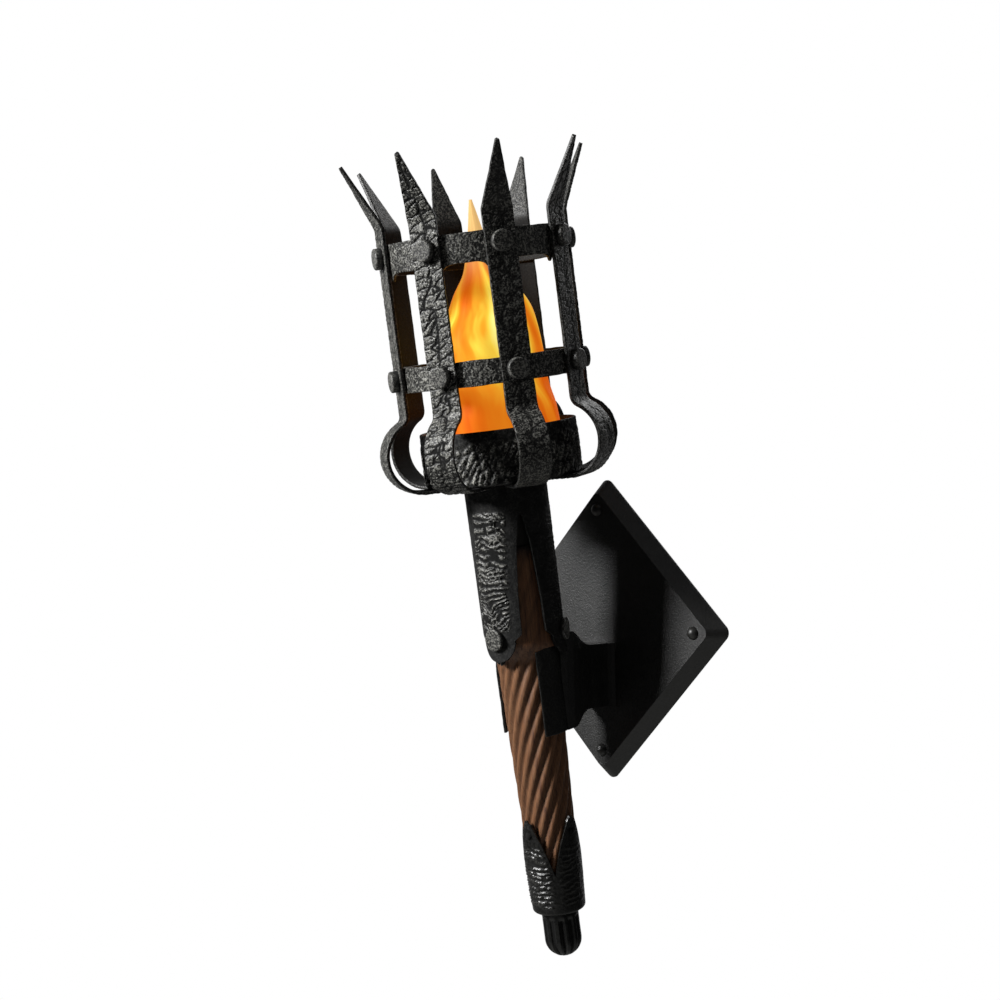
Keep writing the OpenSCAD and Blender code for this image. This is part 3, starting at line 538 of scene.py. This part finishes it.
# a paler coat than the straps', partly painted highlight on the heads' faces
rivet_coat = powder_coat("cast_rivet_coat", coat="#343433", worn="#8d8c86", grain=1.4, depth=0.22,
                         relief=True)
petal_head_r, petal_head_h, petal_seat_r, petal_head_s = 9, 3.4, 33.1, 3.8
heads = [button(on_torch(petal_seat_r, k * 2 * np.pi / 3, petal_head_s), petal_head_r,
                petal_head_h, 90 + k) for k in range(3)]
heads = skin("petal_rivet_heads", heads, columns_meet=True, capped=True)
fit(heads, rivet_coat, "powder_coat", "petal_rivets")


# ---- Ferrule, its rivets and the finial ----
# Iron cup on the shaft's lower end, cut into four pointed petals, each nailed by a small rivet and
# chased like the sleeve. The black finial under it is fluted and ends in a dome.
base, ferrule_notch, tip_s, ferrule_wall = -229.5, -196.0, -148.5, 1.9
lip = np.linspace(-np.pi / 2, 0, 8)
s = np.concatenate([[base - 0.4] * 3, base + 2.5 + 2.9 * np.sin(lip),
                    np.linspace(base + 4, ferrule_notch, 40),
                    np.linspace(ferrule_notch + 0.8, tip_s, 70)])
radius = np.concatenate([[16.2, 17.4, 18.6], 19.1 + 2.9 * np.cos(lip),
                         np.interp(s[11:], [base + 2.5, tip_s + 1], [22, 25.4])])[:, None]
cuts = ferrule_notch + np.array([0, 0.3, 0.58, 0.83, 1.0]) * (tip_s - ferrule_notch)
half = np.interp(s, cuts, [16.46, 13.86, 10.26, 5.46, 1.3])[:, None]
s = s[:, None]
wide = np.where(s <= ferrule_notch, np.pi / 4,
                np.arcsin(np.clip(half / radius, 0, np.sin(np.pi / 4))))
u = np.linspace(-1, 1, 48)[None, :]
patches = []
for k in range(4):
    a = wide * u + k * np.pi / 2
    x = radius * wide * u
    lines = worms(x, s, 120 + 7 * k, 4.8)
    worn = step(s, base + 4, base + 9) * step(s, tip_s - 20, tip_s - 28)
    worn = worn * step(np.abs(u), 0.96, 0.75) * (1 if k in (0, 3) else 0.3)
    rough = cloud(x / 1.8, s / 1.8, 150 + k)
    height = (worn * (1.8 * lines - 0.3) + 0.4 * (rough - 0.6)) * step(np.abs(u), 1.0, 0.9)
    height = height * step(s, base + 2, base + 5) + 0.7 * step(s, tip_s - 14, tip_s)
    # painted highlight on the chased crests, which take the pale worn tone, and painted shade
    # between them
    high = np.clip(0.3 + 0.45 * height, 0, 1)
    patches.append((polar(radius + 0.75 * height, a, s), {"relief": high}))
ferrule = skin("ferrule_petals", patches, thick=ferrule_wall, edge=0.4)
# a smoother coat than the sleeve's, so that the crests of the chasing flash
fit(ferrule, powder_coat("chased_ferrule_coat", relief=True, coat="#0e0e0d", grain=1.8, depth=0.3,
                         rough=(0.36, 0.2)), "powder_coat", "ferrule")
finish(rivet_coat, "ferrule_rivets")

finial_r, finial_low, finial_top, flutes, flute_deep = 15.5, -270.0, -228.7, 12, 1.7
dome_s = finial_low + finial_r
bow = np.linspace(np.pi / 2, 0.04, 22)
s = np.concatenate([[finial_top], np.linspace(finial_top - 1, finial_top - 6, 5),
                    np.linspace(finial_top - 7, dome_s + 1, 18),
                    dome_s - finial_r * np.cos(bow)])[:, None]
shape = np.concatenate([np.full(24, finial_r), finial_r * np.sin(bow)])[:, None]
a = np.linspace(0, 2 * np.pi, 24 * flutes, endpoint=False)[None, :]
near = np.abs((a * flutes / (2 * np.pi)) % 1 - 0.5) * 2
flute = np.sqrt(np.clip(1 - (near / 0.66) ** 2, 0, 1)) * flute_deep
flute = flute * step(finial_top - s, 5, 9) * step(shape, 3, 11)
grit = cloud(a * per_radian, s / 1.8, 170, 60)
# painted shade: the relief mark darkens the flutes' hollows
finial = skin("finial_plug", [(polar(shape - flute - 0.12 * grit, a, s),
                               {"relief": 1 - flute / flute_deep + 0 * grit})],
              columns_meet=True, capped=True)
# a gloss black that shows the flutes as thin bright lines
fit(finial, powder_coat("black_finial", coat="#0b0b0b", worn="#1a1a19", grain=1.6, depth=0.05,
                        relief=True, rough=(0.24, 0.16)), "finial_black", "tip_finial")


# ---- Cage straps ----
# Eight flat bars, forged from their feet under the cup out round its bulge, up the cage and to a
# spear end that leans out. Hammered hot on their outer faces: a seam down the middle, cracks and
# blocks across it, and edges that wander. The backs stay smooth.
straps, cage_turn, strap_step = 8, 15.7, 45          # the first stands cage_turn degrees round
strap_w, strap_t, cage_r, foot_in = 25.4, 3.0, 77.0, 20
strap_c, bulge, bulge_out, fillet = cage_r - strap_t / 2, 29.5, 66.0, 9.0
bend_s, bend_r, spear_lean, spear_len = 336.5, 16, np.radians(26), 52
bulge_s = 130 - strap_t / 2 + bulge
fillet_s = np.sqrt((bulge + fillet) ** 2 - (strap_c + fillet - bulge_out) ** 2)
turn_a = np.arctan2(fillet_s, strap_c + fillet - bulge_out)


def arc(c, r, a0, a1):
    """Points round c at radius r, from angle a0 to a1."""
    a = np.linspace(a0, a1, 200)
    return np.stack([c[0] + r * np.cos(a), c[1] + r * np.sin(a)], -1)


line = np.vstack([
    [[foot_in, 128.5]], arc((bulge_out, bulge_s), bulge, -np.pi / 2, turn_a),
    arc((strap_c + fillet, bulge_s + fillet_s), fillet, np.pi + turn_a, np.pi),
    arc((strap_c + bend_r, bend_s), bend_r, np.pi, np.pi - spear_lean)])
line = np.vstack([line, line[-1] + spear_len * np.array([np.sin(spear_lean), np.cos(spear_lean)])])
run = np.concatenate([[0], np.cumsum(np.hypot(*np.diff(line, axis=0).T))])
along = np.linspace(0, run[-1], 600)
path = np.stack([np.interp(along, run, line[:, 0]), np.interp(along, run, line[:, 1])], -1)
way = np.gradient(path, along, axis=0)
way /= np.linalg.norm(way, axis=1)[:, None]
out = np.stack([way[:, 1], -way[:, 0]], -1)
# half the width along a strap: narrow at the foot, full up the cage, and in to the spear's point
spear_top = bend_s + bend_r * np.sin(spear_lean) + spear_len * np.cos(spear_lean)
half = np.interp(path[:, 1], [bend_s + 5, bend_s + 5 + (spear_top - bend_s) / 2, spear_top],
                 [strap_w / 2, strap_w * 0.26, 1.5])
foot = 6.5 + (path[:, 0] - foot_in) * 0.2625
half = np.where(path[:, 1] < 135, np.minimum(half, foot), half)
left = np.minimum(run[-1] - along, 1.8)                 # the point is rounded off
half = np.where(left < 1.8, np.minimum(half, 0.25 + np.sqrt(3.6 * left - left ** 2)), half)
# the rounded corners of a flat bar's section
corner = np.radians([67, 45, 22, 0])


def section(face):
    """Round a flat bar's section, the outer face in face columns: place across it from -1 to 1,
    lift from -1 inside to 1 outside, and push, the share of the corner radius, sideways."""
    bow = np.concatenate([np.sin(corner), [0], -np.sin(corner[::-1])])
    out_to = np.concatenate([np.cos(corner), [1], np.cos(corner[::-1])])
    place = np.concatenate([np.linspace(-1, 1, face), np.ones(9), np.linspace(1, -1, 9),
                            -np.ones(9)])
    lift = np.concatenate([np.ones(face), bow, -np.ones(9), -bow])
    push = np.concatenate([np.zeros(face), out_to, np.zeros(9), -out_to])
    return place, lift, push


def hammered(w, d, seed):
    """Height of a hammered face, 0 to 1, at w mm across and d mm along a strap: a seam wanders
    right of the middle, narrow cracks cross each side about every 8 mm and rise to the right,
    small chips break the blocks up, and grit lies over all. On the underside of the bulge the
    cracks lie closer."""
    low = step(d, 92, 70)
    sway = 0.5 * (cloud(w / 8 + 9, d / 8, seed) - 0.5)
    sway = sway + 0.25 * (cloud(w / 2.6 + 9, d / 2.6, seed + 1) - 0.5)
    middle = 1.5 + 5 * (cloud(0 * w, d / 19, seed + 2) - 0.5)
    blocks = cells(w / 20 + 10 + 20 * (w > middle), (d - 0.3 * w) / 7.5 + sway, seed + 3)
    layers = cells(w / 14 + 20 + sway, d / 4.0 + 1.5 * sway, seed + 4)
    crack = step(blocks, 0.04, 0.20) * (1 - low) + step(layers, 0.05, 0.32) * low
    chips = 1 - step(cells(w / 4.6 + 20 + 1.5 * sway, d / 3.6 + 1.5 * sway, seed + 5), 0.02, 0.26)
    chips = 1 - 0.6 * chips * step(cloud(w / 6 + 9, d / 8, seed + 6), 0.3, 0.6)
    broken = step(cloud(0 * w + 3, d / 9, seed + 9), 0.2, 0.4)
    seam = 1 - 1.0 * np.exp(-((w - middle) / 1.2) ** 2) * broken * (1 - low)
    grit = 0.55 * cloud(w / 1.7 + 9, d / 1.7, seed + 7)
    grit = grit + 0.45 * cloud(w / 3.1 + 9, d / 3.1, seed + 8)
    return np.clip(crack * chips * seam * (0.62 + 0.6 * grit), 0, 1)


# pale on the heights, partly rubbed wear and partly painted highlight, and black in the cracks,
# painted shade, so the hammering reads from across a room
strap_coat = powder_coat("hammered_strap_coat", worn="#a3a29b", relief=True, grain=1.4, depth=0.45)
place, lift, push = section(41)
for k in range(straps):
    d = along[:, None]
    # the edges wander up the cage, and are kept true round the bulge
    waver = 0.35 * cloud(d / 8, 3.0 + 0 * d, 200 + k) + 0.25 * cloud(d / 3, 9.0 + 0 * d, 210 + k)
    waver = waver * step(path[:, 1:], 186, 202)
    h = half[:, None] - waver * step(half[:, None], 1.5, 6)
    c = np.minimum(0.75, 0.8 * h)
    w = place * (h - c) + push * c
    deep = np.where(lift >= 0, -c + lift * c, -(strap_t - c) + lift * c)
    height = hammered(w, d, 220 + 11 * k)
    face = np.clip(lift, 0, 1) ** 2
    # the strap in front is struck hardest
    struck = 1.0 if k == 0 else 0.45
    deep = deep + strap_t / 2 - struck * (1 - height) * face
    rr = path[:, :1] + out[:, :1] * deep
    s = path[:, 1:] + out[:, 1:] * deep
    a = np.radians(cage_turn + strap_step * k)
    grid = torch(rr * np.sin(a) + w * np.cos(a), -rr * np.cos(a) + w * np.sin(a), s)
    shown = ((1 - struck) * 0.5 + struck * height) * (1 - 0.35 * step(s, 345, 365))
    # painted shade: the backs inside the cage are smooth and darkened, and the spears' backs, which
    # lean out into the light, much less; the sides a little rubbed, and the spears less than the
    # bars
    inside = 0.08 + 0.34 * step(s, 334, 350)
    side = inside + (0.30 - inside) * (1 - lift ** 4)
    strap = skin(f"strap_bar_{k + 1}", [(grid, {"relief": shown * face + side * (1 - face)})],
                 columns_meet=True, capped=True)
    fit(strap, strap_coat, "powder_coat", f"strap_{k + 1}")


# ---- Cage rings and their rivets ----
# Two hoops of flat bar inside the straps, filed by hand: slanting scratches, dented edges. Each
# crossing has one thick rivet, its head outside and its peened end inside the hoop.
ring_coat = powder_coat("filed_ring_coat", worn="#a3a29b", relief=True, grain=1.5, depth=0.42)
# a hoop's outer radius, thickness, half its depth, the rounding of its corners and its file marks
hoop_r, hoop_t, hoop_half, hoop_c, marks_deep = 73.8, 3.0, 10.2, 0.9, 0.65
# how much deeper the upper hoop is, and how far a weld reaches down and sideways
deeper, weld_down, weld_wide = 3.3, 6.0, 9.0
head_r, head_h, peen_r, peen_h = 8.5, 6.2, 4.5, 1.8
a = np.linspace(0, 2 * np.pi, 640, endpoint=False)[:, None]
place, lift, push = section(19)
# how far along the hoop a point is from the nearest strap's edge, and how large the weld there is,
# which is uneven: one number for each strap's left side and one for its right, seen from outside
from_strap = (np.degrees(a) - cage_turn + strap_step / 2) % strap_step - strap_step / 2
beside = np.abs(from_strap) * np.pi / 180 * hoop_r - strap_w / 2
nearest = np.round((np.degrees(a) - cage_turn) / strap_step).astype(int) % straps
left_weld = np.array([0, 0.7, 1.0, 0, 0, 0, 0, 0])[nearest]
right_weld = np.array([0.5, 0, 0, 0, 0, 0, 0, 1.0])[nearest]
weld = np.where(from_strap < 0, left_weld, right_weld)
for name, middle, seed in (("lower", 219.0, 300), ("upper", 316.2, 320)):
    x = a * hoop_r
    waver = 0.5 * cloud(x / 7.245, 3.0 + 0 * x, seed)
    h = hoop_half - waver
    w = place * (h - hoop_c) + push * hoop_c
    if name == "upper":
        # the upper bar is deeper downwards, and a weld rounds off each corner under it
        fill = np.clip(1 - (beside + 0.5) / weld_wide, 0, 1)
        fill = weld_down * weld * (1 - np.sqrt(np.maximum(0, 1 - fill ** 2)))
        w = w - (deeper + fill * step(beside, -6, -0.5)) * step(-w, 0, 9)
    filed = cloud((x + 1.3 * w) / 2.4, w / 9 + 9, seed + 1, 193)
    grit = cloud(x / 1.6, w / 1.6 + 9, seed + 2)
    flakes = step(cells(x / 6.44 + 9, w / 4.5 + 9 + 0.8 * filed, seed + 3, 72), 0.02, 0.20)
    height = np.clip((0.3 + 0.4 * filed + 0.5 * grit) * (0.3 + 0.7 * flakes), 0, 1)
    face = np.clip(lift, 0, 1) ** 2
    deep = np.where(lift >= 0, -hoop_c + lift * hoop_c, -(hoop_t - hoop_c) + lift * hoop_c)
    deep = deep - marks_deep * (1 - height) * face
    # painted shade: the hoop's inner face, towards the flame, is darkened, and its edges less
    high = height * face + (0.42 - 0.28 * lift ** 4) * (1 - face)
    ring = skin(f"ring_{name}_hoop", [(polar(hoop_r + deep, a, middle + w), {"relief": high})],
                columns_meet=True, rows_meet=True)
    fit(ring, ring_coat, "powder_coat", f"ring_{name}")
    heads = []
    for k in range(straps):
        at = np.radians(cage_turn + strap_step * k)
        heads.append(button(on_torch(cage_r, at, middle), head_r, head_h, seed + 30 + k))
        inner = on_torch(hoop_r - hoop_t, at, middle)
        heads.append(button(lambda x, y, z, inner=inner: inner(x, y, -z), peen_r, peen_h,
                            seed + 50 + k, drop=0.3))
    heads = skin(f"rivets_{name}_heads", heads, columns_meet=True, capped=True)
    fit(heads, rivet_coat, "powder_coat", f"rivets_{name}")


# ---- Cup ----
# Spun steel pan that the flame stands in. Its rim is plain, and steep overlapping strokes are
# hammered round its side, stronger in some places than in others.
cup_r, cup_low, cup_wall, cup_foot = 63.5, 130, 2.5, 3
floor_s = cup_low + cup_wall
a = np.linspace(0, 2 * np.pi, 400, endpoint=False)[None, :]
bow = np.linspace(0, np.pi / 2, 7)
# its section, from the inner wall up over the rim, down the side, round the foot and in under the
# floor to the hole for the threaded tube, and out again over the floor
ring = [(60.9, 134), (60.9, 150), (60.9, 172.6), (61.3, 173.2), (61.9, 173.5), (62.8, 173.5),
        (63.3, 173.1)]
ring += [(cup_r, z) for z in np.linspace(172.3, 133.5, 42)]
ring += list(zip(cup_r - cup_foot + cup_foot * np.cos(bow),
                 cup_low + cup_foot - cup_foot * np.sin(bow)))
ring += [(r, cup_low) for r in np.linspace(58, 6, 24)] + [(6, cup_low + 1), (6, floor_s)]
ring += [(r, floor_s) for r in np.linspace(10, 58, 9)]
ring = np.array(ring)[:, None, :]
r, s = ring[..., 0], ring[..., 1]
x = a * cup_r
# strokes climb at 62 degrees: p runs across them and q along them, both bent by soft noise
climb, stroke_w, stroke_len, stroke_deep = np.radians(62), 4.8, 15, 2.2
sway = 5 * (cloud(x / 13.3, s / 16, 400, 30) - 0.5)
p = x * np.sin(climb) - s * np.cos(climb) + sway
q = x * np.cos(climb) + s * np.sin(climb)
strokes = cells(p / stroke_w, q / stroke_len + 0.8 * cloud(p / 6, q / 6, 402), 403)
strokes = step(strokes, 0.14, 0.46)
strength = 0.55 + 0.45 * step(cloud(x / 26.6, s / 20, 404, 15), 0.35, 0.7)
strength = step(s, 167, 160) * strength
grit = cloud(x / 1.7, s / 1.7, 405)
height = strength * (strokes - 0.4) + 0.25 * (grit - 0.5)
side_wall = (r > 60.95) * step(s, 130.2, 134)
grid = polar(r + stroke_deep * np.minimum(height, 0.4) * side_wall, a, s)
# the strokes take the pale worn tone, partly painted highlight, and the plain rim and floor are
# darkened, painted shade
high = np.clip(0.16 + (strength * strokes + 0.3 * (grit - 0.5)) * side_wall, 0, 1)
cup = skin("cup_pan", [(grid, {"relief": high})], rows_meet=True, columns_meet=True)
fit(cup, powder_coat("hammered_cup_coat", worn="#b3b2aa", relief=True, grain=1.5, depth=0.36),
    "powder_coat", "cup")


# ---- Inside the head ----
# What clamps and lights it: a disc between the strap feet, screws, a threaded tube and its nuts, a
# glazed holder with a brass contact, two insulated leads, and an opal lamp.
finish(zinc, "spacer_disc", "foot_screws", "nipple", "nipple_nuts")

# white glaze, with a wet shine and a slow ripple where it ran
porcelain, t = material("glazed_porcelain")
flow = noise(t, 12, 3.0)
surface(t, {"Base Color": ramp(t, flow, (0.3, "#e2ded2"), (0.7, "#efece3")), "Roughness": 0.16,
            "Coat Weight": 0.5, "Normal": bump(t, flow, 0.15, 0.4)})
finish(porcelain, "lampholder")

# warm yellow metal, duller where fingers and the lamp's foot have rubbed it
brass, t = material("stamped_brass")
worn = noise(t, 2, 3.0)
surface(t, {"Base Color": ramp(t, worn, (0.3, "#b98f45"), (0.7, "#d7ae62")), "Metallic": 1.0,
            "Roughness": ramp(t, worn, (0.3, 0.4), (0.7, 0.24))})
finish(brass, "contact_button")

# matt black insulation with a faint weave
rubber, t = material("insulated_lead")
weave = noise(t, 1.2)
surface(t, {"Base Color": ramp(t, weave, (0.3, "#1a1a1a"), (0.7, "#2b2a29")), "Roughness": 0.6,
            "Normal": bump(t, weave, 0.3, 0.1)})
finish(rubber, "leads")

# milky glass that glows warm all over
opal, t = material("opal_glass_lamp")
milk = ramp(t, noise(t, 20), (0.3, "#f4efe2"), (0.7, "#fff9ec"))
surface(t, {"Base Color": milk, "Roughness": 0.3, "Emission Color": milk,
            "Emission Strength": 0.6})
finish(opal, "lamp")


# ---- Flame ----
# The flame is a blown shell of tinted acrylic over the lamp: round where it stands in the cup, then
# drawn in folds to a point that leans a little. Lit, it is orange with yellow tongues.
flame_low, flame_top, drift_way = 132.7, 354.6, np.radians(135)
# height along the torch, radius, and how far the middle has drifted
rows = np.array([[flame_low, 51, 0], [167.5, 51, 0], [175, 50.4, 0], [187, 49.4, -0.2],
                 [196, 46.9, -0.4], [205.5, 44.9, -0.5], [228, 44.5, -0.5], [241, 43.6, -0.3],
                 [252, 40.6, 1.7], [258, 37.8, 3.8], [265, 34.6, 5.7], [274, 30.6, 5.6],
                 [283, 25.7, 5.0], [295, 16.5, 4.2], [303, 13.1, 3.3], [319.5, 8.6, 2.6],
                 [333, 5.4, 2.3], [350, 2.2, 1.6], [flame_top, 0.9, 1.4]])
s = np.linspace(flame_low, flame_top, 230)[:, None]
soft = np.exp(-0.5 * (np.arange(-9, 10) / 3.5) ** 2)
soft /= soft.sum()


def eased(column):
    """One column of rows along s, with its corners smoothed by a bell curve nine points wide."""
    v = np.interp(s[:, 0], rows[:, 0], rows[:, column])
    return np.convolve(np.pad(v, 9, mode="edge"), soft, "valid")[:, None]


r, shift = eased(1), eased(2)
a = np.linspace(0, 2 * np.pi, 192, endpoint=False)[None, :]
free = step(s, 174, 214)
twist = a + 0.9 * (s - 174) / 180
fold = (0.026 * np.sin(3 * twist) + 0.018 * np.sin(7 * twist + 1.3)
        + 0.012 * np.sin(13 * twist + 2.1))
r = r * (1 + free * (fold - 0.022))
dx, dy = shift * np.sin(drift_way), -shift * np.cos(drift_way)
grid = torch(dx + r * np.cos(a), dy + r * np.sin(a), s)
flow = np.stack(np.broadcast_arrays(np.cos(twist) * 0.04, np.sin(twist) * 0.04, s / 1000), -1)
flame = skin("flame_shell", [(grid, {"flow": flow})], columns_meet=True, capped=True)

# tinted acrylic, lit from inside: tongues about 25 mm wide and 110 mm tall, with finer licks 9 mm
# wide over them
fire, t = material("flame_tinted_acrylic")
at = put(t, "Attribute", attribute_name="flow").outputs["Vector"]
bent = bend(t, at, 1000 / 45, (22, 22, 20), detail=1.0)
broad = noise(t, (25, 25, 110), 1.0, at=bent)
licks = noise(t, (9, 9, 70), at=bent)
level = put(t, "SeparateXYZ", {"Vector": bent}).outputs["Z"]
# the yellow is thickest in the middle of the body, and thins out to orange in the cup and the neck
heat = calc(t, "ADD", span(t, level, 0.195, 0.260, -0.16, 0.04),
            span(t, level, 0.262, 0.305, 0.0, -0.14))
heat = calc(t, "MULTIPLY_ADD", licks, 0.35, calc(t, "ADD", heat, broad))
tone = ramp(t, heat, (0.40, "#e0620c"), (0.56, "#ee8319"), (0.68, "#f7a92a"), (0.78, "#ffd84a"),
            (0.92, "#fff08a"))
tone = mix(t, span(t, level, 0.292, 0.345), tone, srgb("#ecbe78"))
surface(t, {"Base Color": mix(t, 1.0, tone, (0.42, 0.42, 0.42, 1), "MULTIPLY"), "Roughness": 0.55,
            "Specular IOR Level": 0.05, "Emission Color": tone, "Emission Strength": 0.84})
fit(flame, fire, "flame_acrylic", "flame_diffuser", body="diffuser")
